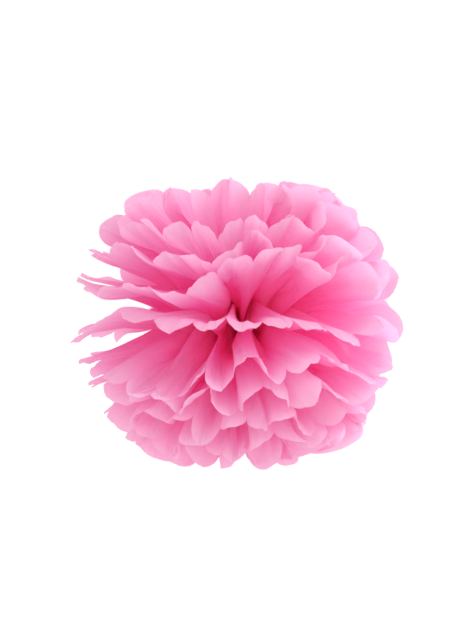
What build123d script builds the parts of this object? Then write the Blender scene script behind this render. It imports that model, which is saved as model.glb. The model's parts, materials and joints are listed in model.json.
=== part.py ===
"""Tissue-paper pom-pom: ten pleated sheets gathered by one wire tie, millimetres, +Z up.

Each sheet is cut as a long strip-pleated rectangle with a rounded end on every pleat. A wire pinches the
stack at its middle, and the two halves of each sheet are pulled up or down as fans, which make the ball.
One sheet is three solids: the flat waist under the wire, and a front and a back leaf that flex at the waist.
The origin is the middle of the tied stack. The leaves fan out towards -Y (front) and +Y (back).
"""

import math
import os

from build123d import *

# Cut sheet
BALL_DIAMETER = 250.0
PLEATS = 13
PLEAT_WIDTH = 31.0
LOBE_DEPTH = 12.0
LOBE_SHOULDER = 0.45  # half-width of a lobe's blunt end, as a share of half a pleat

# How far each sheet's leaves are raised, from the top of the stack to the bottom, in degrees
RAISED = [60, 47, 34, 20, 4, -12, -24, -36, -48, -60]
FAN_HALF_ANGLE = 86.0

# Tied stack
SHEET_PITCH = 0.9
WAIST_THICKNESS = 0.7
WAIST_WIDTH = 10.0
HINGE_Y = 7.8  # of the two middle sheets; each sheet further out bends HINGE_STAGGER nearer to the wire
HINGE_STAGGER = 0.5
HINGE_GAP = 0.8

# Leaf solids: the pleats start flat at the tie and are free from PLEATS_OPEN, but stand no steeper than
# PLEAT_SLOPE, the depth over the pitch at which neighbouring leaves still nest when one of them flexes
ROOT_THICKNESS = 0.3
LEAF_THICKNESS = 1.0
THICKNESS_GROWS = 12.0
PLEATS_START = 8.0
PLEATS_OPEN = 46.0
PLEAT_SLOPE = 2.4
LEAF_ROWS = [0.0, 8.0, 18.0, 30.0, 46.0, 74.0]

# Tie wire: a loop round the stack, two strands twisted above it, and a hanging eye
WIRE_RADIUS = 0.5
WIRE_CLEARANCE = 0.1
LOOP_SIDE = WAIST_WIDTH / 2 + WIRE_CLEARANCE + WIRE_RADIUS
LOOP_TOP = ((len(RAISED) - 1) * SHEET_PITCH + WAIST_THICKNESS) / 2 + WIRE_CLEARANCE + WIRE_RADIUS
LOOP_BEND = 0.75
BEND_SHARE = 0.45  # how much of the shorter run beside a corner its bend takes up
TWIST_RADIUS = 0.6
TWIST_STEP = 0.9
TWIST_POINTS_PER_TURN = 6
TWIST_TURNS = 2
EYE_RADIUS = 4.0
EYE_POINTS = 10
TAIL_OUT = 2.4
TAIL_DOWN = 0.9


def hinge_height(index):
    """Height of a sheet in the stack, counted from the top."""
    return ((len(RAISED) - 1) / 2 - index) * SHEET_PITCH


def hinge_y(index):
    """Distance of a sheet's hinges from the middle of the stack."""
    return HINGE_Y - HINGE_STAGGER * (abs(index - (len(RAISED) - 1) / 2) - 0.5)


def leaf_length(index):
    """Length of a leaf from its hinge to the tips of its lobes."""
    return BALL_DIAMETER / 2 - hinge_y(index)


def pleat_height(along, raised):
    """Depth of the zigzag at a distance from the tie: a pleat keeps its cut width where it has room to."""
    arc = WAIST_WIDTH + 2 * math.radians(FAN_HALF_ANGLE) * along * math.cos(raised)
    pitch = arc / PLEATS
    full = min(math.sqrt(PLEAT_WIDTH**2 - pitch**2), PLEAT_SLOPE * pitch)
    opened = min(max((along - PLEATS_START) / (PLEATS_OPEN - PLEATS_START), 0.0), 1.0)
    return full * opened * (2 - opened)


def leaf_point(index, side, across, along, skin):
    """A point of a leaf: across runs 0 to PLEATS over the folds, skin is -1 or 1 for the two faces."""
    raised = math.radians(RAISED[index])
    share = 2 * across / PLEATS - 1
    turn = math.radians(FAN_HALF_ANGLE) * share
    out = (math.sin(turn) * math.cos(raised), math.cos(turn) * math.cos(raised), math.sin(raised))
    normal = (-math.sin(turn) * math.sin(raised), -math.cos(turn) * math.sin(raised), math.cos(raised))
    zigzag = 1 - 2 * abs((across % 2) - 1)
    grown = min(along / THICKNESS_GROWS, 1.0)
    thickness = ROOT_THICKNESS + (LEAF_THICKNESS - ROOT_THICKNESS) * grown
    offset = -zigzag * pleat_height(along, raised) / 2 + skin * thickness / 2
    return Vector(
        share * WAIST_WIDTH / 2 + along * out[0] + offset * normal[0],
        side * (hinge_y(index) + along * out[1] + offset * normal[1]),
        hinge_height(index) + along * out[2] + offset * normal[2],
    )


def leaf(index, side):
    """One half of a sheet: a pleated fan with a lobe on every pleat, as one thin closed solid."""
    tip = leaf_length(index)
    fold_end = tip - LOBE_DEPTH
    rows = LEAF_ROWS + [fold_end]
    shoulder = (1 - LOBE_SHOULDER) / 2

    def skin_triangles(skin):
        def at(across, along):
            return leaf_point(index, side, across, along, skin)

        triangles = []
        for pleat in range(PLEATS):
            for near, far in zip(rows, rows[1:]):
                a, b = at(pleat, near), at(pleat + 1, near)
                c, d = at(pleat + 1, far), at(pleat, far)
                triangles += [(a, b, c), (a, c, d)]
            left, right = at(pleat, fold_end), at(pleat + 1, fold_end)
            tip_left = at(pleat + shoulder, tip)
            tip_right = at(pleat + 1 - shoulder, tip)
            triangles += [(left, right, tip_right), (left, tip_right, tip_left)]
        return triangles

    def outline(skin):
        def at(across, along):
            return leaf_point(index, side, across, along, skin)

        points = [at(pleat, 0.0) for pleat in range(PLEATS + 1)]
        points += [at(PLEATS, along) for along in rows[1:]]
        for pleat in reversed(range(PLEATS)):
            points.append(at(pleat + 1 - shoulder, tip))
            points.append(at(pleat + shoulder, tip))
            points.append(at(pleat, fold_end))
        points += [at(0, along) for along in reversed(rows[1:-1])]
        return points

    triangles = skin_triangles(1) + [(a, c, b) for a, b, c in skin_triangles(-1)]
    upper, lower = outline(1), outline(-1)
    for k in range(len(upper)):
        n = (k + 1) % len(upper)
        triangles += [(upper[k], lower[k], lower[n]), (upper[k], lower[n], upper[n])]
    faces = [Face(Wire.make_polygon(corners, close=True)) for corners in triangles]
    return Solid(Shell(faces))


def waist(index):
    """The pinched middle of a sheet, flat under the wire."""
    length = 2 * (hinge_y(index) - HINGE_GAP)
    return Pos(0, 0, hinge_height(index)) * Box(WAIST_WIDTH, length, WAIST_THICKNESS)


def tie_wire_points():
    """The wire's route: eye, down one strand of the twist, round the stack, up the other strand, tail."""
    twist_base = LOOP_TOP + 2 * TWIST_RADIUS + TWIST_STEP
    steps = TWIST_POINTS_PER_TURN * TWIST_TURNS

    def strand(phase):
        points = []
        for k in range(steps + 1):
            turn = phase + 2 * math.pi * k / TWIST_POINTS_PER_TURN
            x, y = TWIST_RADIUS * math.cos(turn), TWIST_RADIUS * math.sin(turn)
            points.append((x, y, twist_base + k * TWIST_STEP))
        return points

    right, left = strand(0.0), strand(math.pi)
    twist_top = twist_base + steps * TWIST_STEP
    eye_centre = twist_top + TWIST_STEP + EYE_RADIUS
    eye = []
    for k in range(EYE_POINTS):
        turn = -math.pi / 2 + 2 * math.pi * (k + 0.5) / EYE_POINTS
        x, z = EYE_RADIUS * math.cos(turn), eye_centre + EYE_RADIUS * math.sin(turn)
        eye.append((x, 0.0, z))
    loop = [(x, 0.0, z) for x, z in ((1, 1), (1, -1), (-1, -1), (-1, 1))]
    loop = [(x * LOOP_SIDE, y, z * LOOP_TOP) for x, y, z in loop]
    tail_end = (left[-1][0] - TAIL_OUT, left[-1][1], left[-1][2] - TAIL_DOWN)
    return list(reversed(eye)) + list(reversed(right)) + loop + left + [tail_end]


def tie_wire():
    """The florist's wire, one length: bound round the stack, twisted, and ending in the hanging eye."""
    points = tie_wire_points()
    lengths = [(Vector(*b) - Vector(*a)).length for a, b in zip(points, points[1:])]
    radii = []
    for before, corner, after, near, far in zip(points, points[1:], points[2:], lengths, lengths[1:]):
        turn = (Vector(*corner) - Vector(*before)).get_angle(Vector(*after) - Vector(*corner))
        largest = BEND_SHARE * min(near, far) / math.tan(math.radians(turn) / 2)
        on_loop = abs(corner[0]) == LOOP_SIDE
        radii.append(LOOP_BEND if on_loop else largest)
    print("wire corners turn at radii from", round(min(radii), 2), "mm")
    path = FilletPolyline(*points, radius=radii)
    section = Plane(origin=path @ 0, z_dir=path % 0) * Circle(WIRE_RADIUS)
    return sweep(section, path=path)


def main():
    os.makedirs("parts", exist_ok=True)
    for index in range(len(RAISED)):
        name = f"sheet_{index + 1:02d}"
        export_step(waist(index), f"parts/{name}_waist.step")
        export_step(leaf(index, -1), f"parts/{name}_front_leaf.step")
        export_step(leaf(index, 1), f"parts/{name}_back_leaf.step")
    export_step(tie_wire(), "parts/tie_wire.step")


main()
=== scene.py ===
"""Looks of a hanging tissue-paper pom-pom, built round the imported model, in metres, +Z up.

Every CAD leaf is replaced by one sheet of thin pleated paper that opens as a fan from its hinge. Straight
folds run out to a notch at the rim, and every pleat between two folds ends in its own round, curling lobe.
The CAD waists are replaced by the pleats squeezed together under the wire, and the wire gets its paint.

Where a fold ends is given in degrees: its azimuth from the middle of the fan, positive towards +X, and its
elevation. A front fan opens towards -Y and a back fan towards +Y.
"""

import json
import math

import bpy
import numpy as np
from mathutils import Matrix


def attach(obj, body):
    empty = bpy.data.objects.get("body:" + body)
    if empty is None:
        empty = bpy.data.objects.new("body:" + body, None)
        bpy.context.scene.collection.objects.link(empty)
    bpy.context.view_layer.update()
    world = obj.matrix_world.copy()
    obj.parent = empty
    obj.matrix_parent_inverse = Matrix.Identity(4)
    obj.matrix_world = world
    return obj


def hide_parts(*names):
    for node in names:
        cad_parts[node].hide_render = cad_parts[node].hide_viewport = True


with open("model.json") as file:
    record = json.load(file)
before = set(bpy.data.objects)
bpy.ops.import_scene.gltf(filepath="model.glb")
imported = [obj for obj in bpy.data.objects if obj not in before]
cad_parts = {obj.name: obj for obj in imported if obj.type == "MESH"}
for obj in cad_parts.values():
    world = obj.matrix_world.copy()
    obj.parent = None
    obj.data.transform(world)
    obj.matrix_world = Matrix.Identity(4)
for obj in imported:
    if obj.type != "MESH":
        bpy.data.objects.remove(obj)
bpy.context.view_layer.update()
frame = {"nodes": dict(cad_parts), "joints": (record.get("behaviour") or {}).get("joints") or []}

# Cut sheet, stack and fan, as in the CAD model
BALL_RADIUS = 0.125
PLEATS = 13
PLEAT_WIDTH = 0.031
RAISED = [60, 47, 34, 20, 4, -12, -24, -36, -48, -60]
SHEETS = len(RAISED)
FAN_HALF_ANGLE = 86.0
WAIST_WIDTH = 0.010

# Soft paper, where the CAD has stiff leaves: lobes are cut as near half circles, and the pleats open from
# PLEATS_START to PLEATS_OPEN along the leaf, at most PLEAT_SLOPE times as deep as they are wide
LOBE_DEPTH = 0.0145
PLEATS_START = 0.001
PLEATS_OPEN = 0.022
PLEAT_SLOPE = 7.0

# The ball is a little flat: a leaf pointing straight up would reach this share less far, in crumples too
# fine to model
PRESSED = 0.07

# Along a leaf, as shares of its length: the folds have turned to their own azimuth by TURNED, and go over
# from the even zigzag to their own elevation between SETTLING and SETTLED
TURNED = 0.4
SETTLING = 0.15
SETTLED = 0.9

# Mesh fineness: columns over one pleat, and rows from the tie to the rim, which lie closer together towards
# the rim where their power is below 1
COLUMNS = 14
ROWS = 36
ROW_POWER = 0.9

# Folds of an even fan: their azimuths, and which way each of them points, up or down
EVEN_FAN = FAN_HALF_ANGLE * (2 * np.arange(PLEATS + 1) / PLEATS - 1)
UP_OR_DOWN = np.where(np.arange(PLEATS + 1) % 2 == 0, 1, -1)

# Where the folds of the front leaves end, as opened by hand: (azimuth, elevation)
FRONT_FOLDS = {
    0: [
        (-86, 58), (-70, 45), (-58, 58), (-42, 48), (-33, 60), (-15, 53), (-4, 67),
        (7, 55), (18, 66), (33, 51), (40, 62), (58, 50), (66, 60), (86, 50),
    ],
    1: [
        (-86, 31), (-75, 43), (-62, 34), (-48, 40), (-34, 34), (-21, 37), (-9, 34),
        (3, 42), (14, 38), (26, 46), (38, 37), (52, 52), (68, 35), (86, 50),
    ],
    2: [
        (-86, 24), (-73, 27), (-60, 25), (-47, 30), (-34, 23), (-23, 26), (-10, 23),
        (2, 33), (15, 30), (26, 28), (37, 34), (52, 24), (68, 38), (86, 22),
    ],
    3: [
        (-86, 13), (-73, 12), (-60, 9), (-47, 14), (-34, 14), (-19, 12), (-8, 20),
        (6, 24), (22, 28), (38, 17), (50, 23), (61, 9), (74, 24), (86, 8),
    ],
    4: [
        (-86, -4), (-72, -4), (-57, 1), (-45, 8), (-31, 4), (-16, 3), (-4, 5),
        (9, 3), (20, 4), (33, 0), (47, -3), (60, 4), (73, -7), (86, 7),
    ],
    5: [
        (-86, -14), (-73, -14), (-60, -17), (-46, -19), (-35, -23), (-24, -25), (-12, -14),
        (-2, -17), (8, -10), (18, -14), (31, -9), (46, -16), (66, -20), (86, -12),
    ],
    6: [
        (-86, -22), (-73, -24), (-60, -22), (-46, -29), (-33, -21), (-26, -33), (-11, -22),
        (0, -31), (10, -22), (20, -28), (32, -19), (47, -29), (66, -20), (86, -28),
    ],
    7: [
        (-86, -36), (-73, -32), (-60, -40), (-46, -34), (-32, -39), (-20, -34), (-8, -40),
        (4, -35), (14, -39), (26, -32), (40, -38), (55, -29), (70, -38), (86, -32),
    ],
    8: [
        (-86, -43), (-73, -50), (-60, -43), (-46, -50), (-32, -45), (-19, -51), (-6, -44),
        (7, -51), (20, -44), (33, -49), (46, -40), (60, -48), (73, -38), (86, -42),
    ],
}

# On the left the pleats of the middle leaves lie flat, one leaf clear of the next: the elevation of their
# outermost folds there, and how far these stray from it
LEFT_EDGE = {2: 25, 3: 15, 4: -4, 5: -14, 6: -23, 7: -34}
LEFT_EDGE_FOLDS = 3
LEFT_EDGE_UNEVEN = 1.0

# Corners of the ball that were pulled out less: how far the folds nearest to them are turned, in degrees
LEFT_TURNED = {0: -6, 1: -6}
RIGHT_TURNED = {8: 6, 9: 8}
CORNER_FOLDS = 4

# How the lobes of a leaf curl, from -1 down to 1 up, where they all curl alike and on the other leaves
CURLS = {4: -0.8}
USUAL_CURL = 0.1

# Pleats of the front leaves that the hand smoothed flat: the leaf, then the pleats from the left
SMOOTHED = {
    1: [2, 3, 4, 5, 6, 7],
    2: [1, 2, 3, 4, 5],
    3: [2, 3, 6, 7],
    4: [2, 3, 4, 5, 6, 7, 8, 9],
    5: [3, 4, 5, 9],
}

# How freely pleats bulge and curl where they are smoothed, and flat at the left edge; the others have 1
SMOOTHED_FREE = 0.25
LEFT_EDGE_FREE = 0.4

# How unevenly the other fans are opened, in degrees
FAN_TURN = 6.0  # a whole fan, to either side
FOLD_STRAY = 3.0  # each fold, to either side
EDGE_STRAY = 0.3  # the share of that at the two edges of a fan
KNIFE_TURN = 4.5  # every other fold, at most, over to one side, which leaves some pleats narrow
FOLD_RISE = (3.0, 5.5)  # a fold, up or down out of its leaf
STEEP_RISE = 4.0  # so much more in leaves steeper than STEEP
STEEP = 40
RIGHT_RISE = 3.0  # so much more again at azimuths past RIGHT_SIDE
RIGHT_SIDE = 45
RISE_UNEVEN = 2.0
LOWERED = 0.95  # leaves lie this share as steep as in the CAD model

# Where the two fans of a sheet meet at the sides, in degrees: their folds spread by SIDE_SPREAD there, and
# their edges meet SIDE_CROSSED off the side, behind it and in front of it in turn, give or take SIDE_UNEVEN
SIDE_SPREAD = 7
SIDE_CROSSED = 6
SIDE_UNEVEN = 3

# How unevenly the pleats are cut and bent: lengths in metres, and the rest as shares
NOTCH_UNEVEN = (-0.003, 0.002)
LOBE_UNEVEN = (-0.003, 0.001)
LOBE_LEAN = 0.2
CUP = (0.75, 1.0)
CURL_UNEVEN = 0.6
TWIST = 0.45

# Droop of a whole leaf, in degrees: it is nothing at DROOP_FROM, a share of its length, and grows from there
DROOP = (-2.0, 1.0)
DROOP_FROM = 0.4

# How far the paper bends, in metres: cups grow from CUPS_START to CUPS_FULL along the leaf, with at most
# CUPS_MOST times their chord in spare paper, and a lobe curls, twists and ripples most at its tip
CUPS_START = 0.01
CUPS_FULL = 0.05
CUPS_MOST = 1.2
CREASE_HEIGHT = 0.0007
CURL_HEIGHT = 0.009
CURL_POWER = 1.6
TWIST_HEIGHT = 0.03
RIPPLE_HEIGHT = 0.0008
RIPPLES = 9

# Creases of a pleat: height as a share of CREASE_HEIGHT, waves across the pleat, and waves along the leaf.
# They fade out towards the folds and the tie, and come closer to these the larger the two fades are
CREASES = ((1.0, 1.6, 0.35), (0.7, 2.9, -0.5), (0.4, 5.3, 1.1))
FADE_AT_FOLDS = 8
FADE_AT_TIE = 1.5

# Gathered middle of a sheet: columns over one pleat, rows, half its thickness, and the share that the wire
# pinches it by
GATHER_COLUMNS = 4
GATHER_ROWS = 9
GATHER_HALF_THICKNESS = 0.00033
WIRE_PINCH = 0.12

# Seeds of what is random: one for each leaf, and one for the seam between the leaves of a sheet
LEAF_SEEDS = 100
SEAM_SEEDS = 60


def smooth_step(value):
    """Smooth rise from 0 to 1."""
    value = np.clip(value, 0, 1)
    return value * value * (3 - 2 * value)


def loose_folds(index, rng):
    """Azimuths and elevations of the folds of a leaf that was pulled open without much care."""
    edges = np.ones(PLEATS + 1)
    edges[0] = edges[-1] = EDGE_STRAY
    turned = rng.uniform(-FAN_TURN, FAN_TURN) * np.cos(np.radians(EVEN_FAN))
    azimuth = EVEN_FAN + turned + rng.uniform(-FOLD_STRAY, FOLD_STRAY, PLEATS + 1) * edges
    rise = rng.uniform(*FOLD_RISE, PLEATS + 1) + STEEP_RISE * (abs(RAISED[index]) > STEEP)
    raised = LOWERED * RAISED[index] + UP_OR_DOWN * rise
    raised = raised + rng.uniform(-RISE_UNEVEN, RISE_UNEVEN, PLEATS + 1)
    azimuth[1:-1] += UP_OR_DOWN[1:-1] * rng.uniform(0.0, KNIFE_TURN, PLEATS - 1)
    raised += RIGHT_RISE * UP_OR_DOWN * (azimuth > RIGHT_SIDE)
    return azimuth, raised


def leaf_folds(index, face, rng):
    """Azimuths and elevations of a leaf's folds, and how freely each of its pleats bulges.

    Every leaf draws its loose folds, even where the listed folds take their place.
    """
    azimuth, raised = loose_folds(index, rng)
    free = np.ones(PLEATS)
    if index in LEFT_EDGE:
        uneven = rng.uniform(-LEFT_EDGE_UNEVEN, LEFT_EDGE_UNEVEN, LEFT_EDGE_FOLDS)
        raised[:LEFT_EDGE_FOLDS] = LEFT_EDGE[index] + uneven
        free[: LEFT_EDGE_FOLDS - 1] = LEFT_EDGE_FREE
    raised[:CORNER_FOLDS] += LEFT_TURNED.get(index, 0)
    raised[-CORNER_FOLDS:] += RIGHT_TURNED.get(index, 0)
    if face == "front" and index in FRONT_FOLDS:
        azimuth, raised = np.array(FRONT_FOLDS[index], dtype=float).T
        free[SMOOTHED.get(index, [])] = SMOOTHED_FREE
    return azimuth, raised, free


def meet_at_sides(index, face, length, azimuth):
    """Spread a fan's folds until its edges meet those of the sheet's other fan, in one uneven seam."""
    ahead = 1 if face == "front" else -1
    crossed = SIDE_CROSSED * ahead * (1 if index % 2 == 0 else -1)
    uneven = ahead * np.random.default_rng(SEAM_SEEDS + index).uniform(-SIDE_UNEVEN, SIDE_UNEVEN, 2)
    setback = (BALL_RADIUS - length) / length / math.cos(math.radians(RAISED[index]))
    seam = 90 + crossed + math.degrees(math.asin(setback))
    azimuth = azimuth + (SIDE_SPREAD + crossed) * (azimuth / FAN_HALF_ANGLE) ** 3
    azimuth[0] = -seam - uneven[0]
    azimuth[-1] = seam + uneven[1]
    return azimuth


def leaf_shape(index, face, length):
    """The fold lines and lobes of one leaf, with the small irregularities of paper opened by hand."""
    rng = np.random.default_rng(LEAF_SEEDS + 2 * index + (face == "back"))
    azimuth, raised, free = leaf_folds(index, face, rng)
    return {
        "azimuth": meet_at_sides(index, face, length, azimuth),
        "raised": raised,
        "notch": length - LOBE_DEPTH + rng.uniform(*NOTCH_UNEVEN, PLEATS + 1),
        "lobe": LOBE_DEPTH + rng.uniform(*LOBE_UNEVEN, PLEATS),
        "lean": rng.uniform(-LOBE_LEAN, LOBE_LEAN, PLEATS),
        "cup": free * rng.choice([-1, 1], PLEATS) * rng.uniform(*CUP, PLEATS),
        "curl": CURLS.get(index, USUAL_CURL) + free * rng.uniform(-CURL_UNEVEN, CURL_UNEVEN, PLEATS),
        "twist": free * rng.uniform(-TWIST, TWIST, PLEATS),
        "phase": rng.uniform(0, 2 * math.pi, (4, PLEATS)),
        "droop": rng.uniform(*DROOP),
    }


def leaf_columns():
    """The pleat that every column of a leaf's mesh is on, and how far across it, from 0 to 1."""
    column = np.arange(PLEATS * COLUMNS + 1)
    pleat = np.minimum(column // COLUMNS, PLEATS - 1)
    share = (1 - np.cos(math.pi * (column - pleat * COLUMNS) / COLUMNS)) / 2
    return pleat, share


def rim_lines(shape, pleat, share):
    """Distance from the hinge to the rim, and to the straight line between its notches, in every column."""
    leant = share + shape["lean"][pleat] * share * (1 - share) * 2
    lobe = shape["lobe"][pleat] * np.sqrt(np.maximum(1 - (2 * leant - 1) ** 2, 0))
    first = shape["notch"][pleat]
    notch = first + (shape["notch"][pleat + 1] - first) * share
    return notch + lobe, notch


def fold_lines(index, shape, along, reach):
    """Azimuth of the folds, their height off the leaf, and the room between them, by row and column.

    Near the tie the folds stand in a zigzag as deep as the width of the paper needs. Further out they run
    straight to where the hand left them.
    """
    moved = np.radians(shape["azimuth"] - EVEN_FAN)[:, None, None]
    azimuth = np.radians(EVEN_FAN)[:, None, None] + moved * smooth_step(reach / TURNED)
    level = along * math.cos(math.radians(RAISED[index]))
    pitch = WAIST_WIDTH / PLEATS + np.diff(azimuth, axis=0) * level
    depth = np.minimum(np.sqrt(np.maximum(PLEAT_WIDTH**2 - pitch**2, 0)), PLEAT_SLOPE * pitch)
    depth = np.concatenate([depth[:1], (depth[:-1] + depth[1:]) / 2, depth[-1:]])
    opened = np.clip((along - PLEATS_START) / (PLEATS_OPEN - PLEATS_START), 0, 1)
    zigzag = depth * opened * (2 - opened) * UP_OR_DOWN[:, None, None] / 2
    lifted = np.tan(np.radians(shape["raised"] - RAISED[index]))[:, None, None]
    settled = smooth_step((reach - SETTLING) / (SETTLED - SETTLING))
    height = zigzag * (1 - settled) + along * lifted * settled
    return azimuth, height, pitch


def cup_height(shape, pleat, share, along, chord):
    """How far a pleat bulges between its folds, which takes up the paper's width that they leave spare.

    An arch of height h over a chord c is longer than the chord by about 8/3 of (h / c) squared times c.
    """
    spare = np.clip(PLEAT_WIDTH / chord - 1, 0, CUPS_MOST)
    grown = smooth_step((along - CUPS_START) / (CUPS_FULL - CUPS_START))
    arch = shape["cup"][pleat] * chord * np.sqrt(3 / 8 * spare) * grown
    return arch * 4 * share * (1 - share)


def crease_height(shape, pleat, share, reach):
    """Shallow creases of a pleat."""
    creases = 0
    for (height, across, along), phase in zip(CREASES, shape["phase"][:, pleat]):
        creases = creases + height * np.sin(2 * math.pi * (across * share + along * reach) + phase)
    faded = np.minimum(FADE_AT_FOLDS * share * (1 - share), 1) * np.clip(FADE_AT_TIE * reach, 0, 1)
    return CREASE_HEIGHT * creases * faded


def lobe_height(shape, pleat, share, beyond):
    """How far the lobes curl, twist and ripple, growing from their notches to their tips."""
    curl = CURL_HEIGHT * shape["curl"][pleat] * beyond**CURL_POWER
    twist = TWIST_HEIGHT * shape["twist"][pleat] * (share - 0.5) * beyond
    ripple = RIPPLE_HEIGHT * np.sin(RIPPLES * share + shape["phase"][-1, pleat]) * beyond
    return curl + twist + ripple


def beside(folds, pleat):
    """Values of the folds to the left and to the right of every column, by row and column."""
    column = np.arange(len(pleat))
    return folds[pleat, :, column].T, folds[pleat + 1, :, column].T


def fan_directions(azimuth, elevation):
    """Unit vectors along the leaf, across it and off it, where the fan opens towards +Y."""
    level = 0 * elevation
    sin_a, cos_a = np.sin(azimuth), np.cos(azimuth)
    sin_e, cos_e = np.sin(elevation), np.cos(elevation)
    outward = np.stack([sin_a * cos_e, cos_a * cos_e, sin_e], -1)
    across = np.stack([cos_a, -sin_a, level], -1)
    off = np.stack([-sin_a * sin_e, -cos_a * sin_e, cos_e], -1)
    return outward, across, off


def leaf_grid(index, side, hinge, length, shape):
    """Points of a leaf, by row and column, and how far along it and across its pleats each one lies."""
    pleat, share = leaf_columns()
    rim, notch = rim_lines(shape, pleat, share)
    along = np.linspace(0, 1, ROWS + 1)[:, None] ** ROW_POWER * rim
    beyond = np.maximum(along - notch, 0) / LOBE_DEPTH
    reach = along / length

    folds, heights, pitch = fold_lines(index, shape, along, reach)
    left, right = beside(folds, pleat)
    low, high = beside(heights, pleat)
    azimuth = left + (right - left) * share
    height = low + (high - low) * share
    width = pitch[pleat, :, np.arange(len(pleat))].T
    droop = np.radians(shape["droop"] * reach * (reach - DROOP_FROM))
    elevation = math.radians(RAISED[index]) + droop
    outward, across, off = fan_directions(azimuth, elevation)

    slant = np.arctan2(high - low, width)[..., None]
    paper_normal = np.cos(slant) * off - np.sin(slant) * across
    bent = cup_height(shape, pleat, share, along, np.hypot(high - low, width))
    bent = bent + crease_height(shape, pleat, share, reach) + lobe_height(shape, pleat, share, beyond)
    straight = along * (1 - PRESSED * np.sin(elevation) ** 2)
    points = straight[..., None] * outward + height[..., None] * off + bent[..., None] * paper_normal
    lane = pleat + share
    points[..., 0] += WAIST_WIDTH * (lane / PLEATS - 0.5)
    points[..., 1] *= side
    points += np.array(hinge)
    return points, reach, np.broadcast_to(lane, reach.shape)


def sheet_mesh(name, points, reach, across):
    """A mesh of one paper layer from a grid of points, with their places on the sheet as attributes."""
    rows, columns = reach.shape
    grid = np.arange(rows * columns).reshape(rows, columns)
    corners = [grid[:-1, :-1], grid[:-1, 1:], grid[1:, 1:], grid[1:, :-1]]
    faces = np.stack([corner.ravel() for corner in corners], -1)
    mesh = bpy.data.meshes.new(name)
    mesh.from_pydata(points.reshape(-1, 3).tolist(), [], faces.tolist())
    for label, values in (("reach", reach), ("across", across)):
        layer = mesh.attributes.new(label, "FLOAT", "POINT")
        layer.data.foreach_set("value", np.ascontiguousarray(values, dtype=np.float32).ravel())
    mesh.polygons.foreach_set("use_smooth", [True] * len(mesh.polygons))
    mesh.update()
    piece = bpy.data.objects.new(name, mesh)
    bpy.context.scene.collection.objects.link(piece)
    return piece


def hinge_of(index, face):
    """Where a leaf bends at the tie."""
    name = f"sheet_{index + 1:02d}_{face}_flex"
    return next(joint["pos_m"] for joint in frame["joints"] if joint["name"] == name)


def leaf_length(index):
    """Length of a leaf from its hinge to the tips of its lobes."""
    return BALL_RADIUS - abs(hinge_of(index, "front")[1])


def make_leaf(index, face, side, material):
    """One half of a sheet, in place of its CAD leaf."""
    sheet = f"sheet_{index + 1:02d}"
    length = leaf_length(index)
    shape = leaf_shape(index, face, length)
    points, reach, across = leaf_grid(index, side, hinge_of(index, face), length, shape)
    piece = sheet_mesh(f"{sheet}_{face}_paper", points, reach, across)
    piece.data.materials.append(material)
    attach(piece, f"{sheet}_{face}")
    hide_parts(f"{sheet}_{face}_leaf")


def make_gathers(index, length, material):
    """The middle of a sheet, all its pleats squeezed together under the wire, in place of its CAD waist."""
    sheet = f"sheet_{index + 1:02d}"
    end = BALL_RADIUS - length
    height = hinge_of(index, "front")[2]
    across, along = np.meshgrid(np.arange(GATHER_COLUMNS * PLEATS + 1), np.linspace(-end, end, GATHER_ROWS))
    pinched = 1 - WIRE_PINCH * np.cos(math.pi * along / (2 * end))
    x = WAIST_WIDTH * (across / (GATHER_COLUMNS * PLEATS) - 0.5) * pinched
    z = height + np.where(across % 2 == 0, GATHER_HALF_THICKNESS, -GATHER_HALF_THICKNESS)
    points = np.stack([x, along, z], -1)
    piece = sheet_mesh(f"{sheet}_gathers", points, np.abs(along) / BALL_RADIUS, across / GATHER_COLUMNS)
    piece.data.materials.append(material)
    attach(piece, "tied_stack")
    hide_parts(f"{sheet}_waist")
    return piece


def new_material(name):
    """A new material, with its nodes and links."""
    material = bpy.data.materials.new(name)
    material.use_nodes = True
    return material, material.node_tree.nodes, material.node_tree.links


def noise(nodes, scale, detail):
    """A noise texture."""
    texture = nodes.new("ShaderNodeTexNoise")
    texture.inputs["Scale"].default_value = scale
    texture.inputs["Detail"].default_value = detail
    return texture


def tone_ramp(nodes, start, first, end, last):
    """A ramp from the first colour at start to the last colour at end."""
    ramp = nodes.new("ShaderNodeValToRGB")
    ramp.color_ramp.elements[0].position = start
    ramp.color_ramp.elements[0].color = first
    ramp.color_ramp.elements[1].position = end
    ramp.color_ramp.elements[1].color = last
    return ramp


def relief(nodes, strength, distance):
    """A bump node."""
    bump = nodes.new("ShaderNodeBump")
    bump.inputs["Strength"].default_value = strength
    bump.inputs["Distance"].default_value = distance
    return bump


def mesh_attribute(nodes, name):
    """The value of a mesh attribute."""
    attribute = nodes.new("ShaderNodeAttribute")
    attribute.attribute_name = name
    return attribute.outputs["Fac"]


def tissue_colour(nodes, links, place, reach):
    """Pink in two cloudy tones, with a painted highlight: lighter and greyer towards the rim."""
    clouds = noise(nodes, 26.0, 5.0)
    links.new(place, clouds.inputs["Vector"])
    tone = tone_ramp(nodes, 0.3, (1.0, 0.335, 0.71, 1), 0.7, (1.0, 0.385, 0.74, 1))
    links.new(clouds.outputs["Fac"], tone.inputs["Fac"])
    # Painted highlight: from halfway along a leaf to its rim, the pink turns lighter and greyer, standing in
    # for the light that falls on the lobes and shines through them
    painted_highlight_amount = nodes.new("ShaderNodeMapRange")
    painted_highlight_amount.inputs["From Min"].default_value = 0.5
    painted_highlight_amount.inputs["From Max"].default_value = 1.05
    painted_highlight_amount.inputs["To Min"].default_value = 0.0
    painted_highlight_amount.inputs["To Max"].default_value = 0.75
    links.new(reach, painted_highlight_amount.inputs["Value"])
    # The lighter, greyer pink of the painted highlight, mixed in towards the rim
    painted_highlight = nodes.new("ShaderNodeMix")
    painted_highlight.data_type = "RGBA"
    painted_highlight.inputs["B"].default_value = (0.92, 0.69, 0.80, 1)
    links.new(painted_highlight_amount.outputs["Result"], painted_highlight.inputs["Factor"])
    links.new(tone.outputs["Color"], painted_highlight.inputs["A"])
    return painted_highlight.outputs["Result"]


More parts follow.
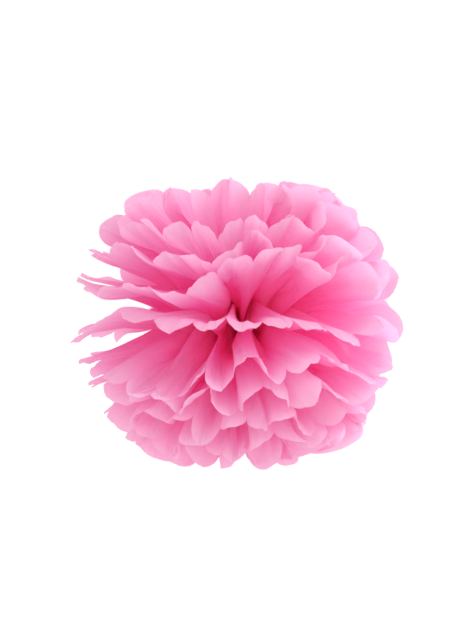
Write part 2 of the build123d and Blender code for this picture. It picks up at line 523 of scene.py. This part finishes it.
def tissue_relief(nodes, links, place, reach):
    """Crinkles that follow the pleats, under the fine grain of the paper's fibres."""
    on_sheet = nodes.new("ShaderNodeCombineXYZ")
    links.new(mesh_attribute(nodes, "across"), on_sheet.inputs["X"])
    links.new(reach, on_sheet.inputs["Y"])
    wrinkles = noise(nodes, 4.0, 4.0)
    wrinkles.inputs["Distortion"].default_value = 0.6
    links.new(on_sheet.outputs["Vector"], wrinkles.inputs["Vector"])
    crinkles = relief(nodes, 0.6, 0.0035)
    links.new(wrinkles.outputs["Fac"], crinkles.inputs["Height"])
    fibres = noise(nodes, 420.0, 6.0)
    links.new(place, fibres.inputs["Vector"])
    grain = relief(nodes, 0.25, 0.0004)
    links.new(fibres.outputs["Fac"], grain.inputs["Height"])
    links.new(crinkles.outputs["Normal"], grain.inputs["Normal"])
    return grain.outputs["Normal"]


def tissue_material():
    """Pink tissue: light falls on it and shines through it."""
    material, nodes, links = new_material("pink_tissue")
    nodes.clear()
    place = nodes.new("ShaderNodeTexCoord").outputs["Object"]
    reach = mesh_attribute(nodes, "reach")
    colour = tissue_colour(nodes, links, place, reach)
    normal = tissue_relief(nodes, links, place, reach)
    surface = nodes.new("ShaderNodeBsdfPrincipled")
    surface.inputs["Roughness"].default_value = 0.75
    surface.inputs["Specular IOR Level"].default_value = 0.25
    links.new(colour, surface.inputs["Base Color"])
    links.new(normal, surface.inputs["Normal"])
    through = nodes.new("ShaderNodeBsdfTranslucent")
    links.new(colour, through.inputs["Color"])
    links.new(normal, through.inputs["Normal"])
    both = nodes.new("ShaderNodeMixShader")
    both.inputs["Fac"].default_value = 0.55
    links.new(surface.outputs["BSDF"], both.inputs[1])
    links.new(through.outputs["BSDF"], both.inputs[2])
    output = nodes.new("ShaderNodeOutputMaterial")
    links.new(both.outputs["Shader"], output.inputs["Surface"])
    return material


def wire_material():
    """Thin florist's wire in worn white paint."""
    material, nodes, links = new_material("white_wire")
    surface = nodes["Principled BSDF"]
    surface.inputs["Roughness"].default_value = 0.4
    speckle = noise(nodes, 900.0, 2.0)
    tone = tone_ramp(nodes, 0.35, (0.55, 0.54, 0.52, 1), 0.45, (0.82, 0.82, 0.80, 1))
    links.new(speckle.outputs["Fac"], tone.inputs["Fac"])
    links.new(tone.outputs["Color"], surface.inputs["Base Color"])
    return material


def make_floor():
    """A pale floor far below the hanging ball."""
    half = 30.0
    low = -1.5
    corners = [(-half, -half, low), (half, -half, low), (half, half, low), (-half, half, low)]
    mesh = bpy.data.meshes.new("floor")
    mesh.from_pydata(corners, [], [(0, 1, 2, 3)])
    floor = bpy.data.objects.new("floor", mesh)
    bpy.context.scene.collection.objects.link(floor)
    pale, nodes, _ = new_material("pale_floor")
    surface = nodes["Principled BSDF"]
    surface.inputs["Base Color"].default_value = (0.93, 0.93, 0.93, 1)
    surface.inputs["Roughness"].default_value = 0.9
    surface.inputs["Emission Color"].default_value = (1, 1, 1, 1)
    surface.inputs["Emission Strength"].default_value = 0.15
    mesh.materials.append(pale)


def make_surroundings():
    """White light from all round."""
    world = bpy.data.worlds.new("studio")
    world.use_nodes = True
    background = world.node_tree.nodes["Background"]
    background.inputs["Color"].default_value = (1, 1, 1, 1)
    background.inputs["Strength"].default_value = 1.0
    bpy.context.scene.world = world


def face_the_ball(thing):
    """Turn a lamp or the camera, where it stands, to the middle of the ball."""
    thing.rotation_mode = "QUATERNION"
    thing.rotation_quaternion = (-thing.location).to_track_quat("-Z", "Y")
    bpy.context.scene.collection.objects.link(thing)


def make_lamp(name, place, power, size):
    """A soft square lamp."""
    data = bpy.data.lights.new(name, "AREA")
    data.energy = power
    data.size = size
    lamp = bpy.data.objects.new(name, data)
    lamp.location = place
    face_the_ball(lamp)


def make_camera():
    """A nearly level camera in front of the ball, and enough bounces for light to pass through the paper."""
    data = bpy.data.cameras.new("camera")
    data.lens = 85.0
    data.sensor_width = 36.0
    camera = bpy.data.objects.new("camera", data)
    distance = 1.12
    elevation = math.radians(3.0)
    camera.location = (0, -distance * math.cos(elevation), distance * math.sin(elevation))
    face_the_ball(camera)
    bpy.context.scene.camera = camera
    bpy.context.scene.view_settings.view_transform = "Standard"
    cycles = bpy.context.scene.cycles
    cycles.max_bounces = 28
    cycles.diffuse_bounces = 24
    cycles.transmission_bounces = 24


def main():
    make_camera()
    make_floor()
    make_surroundings()
    make_lamp("key", (0.9, -0.5, 1.1), power=6.0, size=0.8)
    make_lamp("rim", (0.9, 0.9, 0.3), power=11.0, size=0.7)
    tissue = tissue_material()
    for index in range(SHEETS):
        gathers = make_gathers(index, leaf_length(index), tissue)
        make_leaf(index, "front", -1, tissue)
        make_leaf(index, "back", 1, tissue)
    wire = wire_material()
    frame["nodes"]["tie_wire"].data.materials.clear()
    frame["nodes"]["tie_wire"].data.materials.append(wire)


main()
